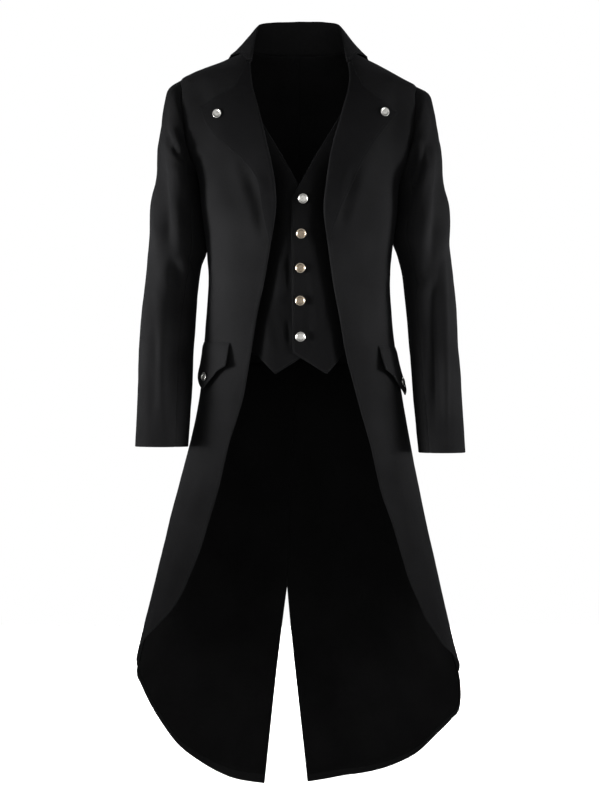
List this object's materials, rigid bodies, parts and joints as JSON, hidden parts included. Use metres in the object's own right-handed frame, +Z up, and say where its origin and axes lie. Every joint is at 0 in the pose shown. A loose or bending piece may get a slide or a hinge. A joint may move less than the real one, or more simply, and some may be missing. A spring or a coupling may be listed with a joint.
{
  "type": "tailcoat with a sewn-in false waistcoat",
  "caption": "Long black tailcoat with a high collar, wide buttoned-back lapels, a false waistcoat and rounded swallow tails, hollow as worn",
  "frame": {"origin": "midway between the shoulders, level with where the coat rests on them", "axes": "+Z up, the front of the coat faces -Y, the wearer's left is +X"},
  "size_m": [0.5596, 0.3552, 1.3449],
  "materials": {
    "black_wool": "matt black coating cloth",
    "waistcoat_wool": "matt black suiting",
    "black_satin": "dark lining cloth, slight sheen",
    "silver": "silvery cast buttons, softly worn",
    "bronze": "bronze-coloured cast buttons, softly worn"
  },
  "bodies": {
    "root": {"back_left": "black_wool", "back_right": "black_wool", "front_left": "black_wool", "front_right": "black_wool", "top_sleeve_left": "black_wool", "top_sleeve_right": "black_wool", "under_sleeve_left": "black_wool", "under_sleeve_right": "black_wool", "collar": "black_wool", "lapel_left": "black_wool", "lapel_right": "black_wool", "flap_left": "black_wool", "flap_right": "black_wool", "vest_left": "waistcoat_wool", "vest_right": "waistcoat_wool", "lining_left": "black_satin", "lining_right": "black_satin", "vest_button_1": "silver", "vest_button_5": "silver", "lapel_button_left": "silver", "lapel_button_right": "silver", "flap_button_left": "silver", "flap_button_right": "silver", "vest_button_2": "bronze", "vest_button_3": "bronze", "vest_button_4": "bronze"}
  },
  "joints": []
}
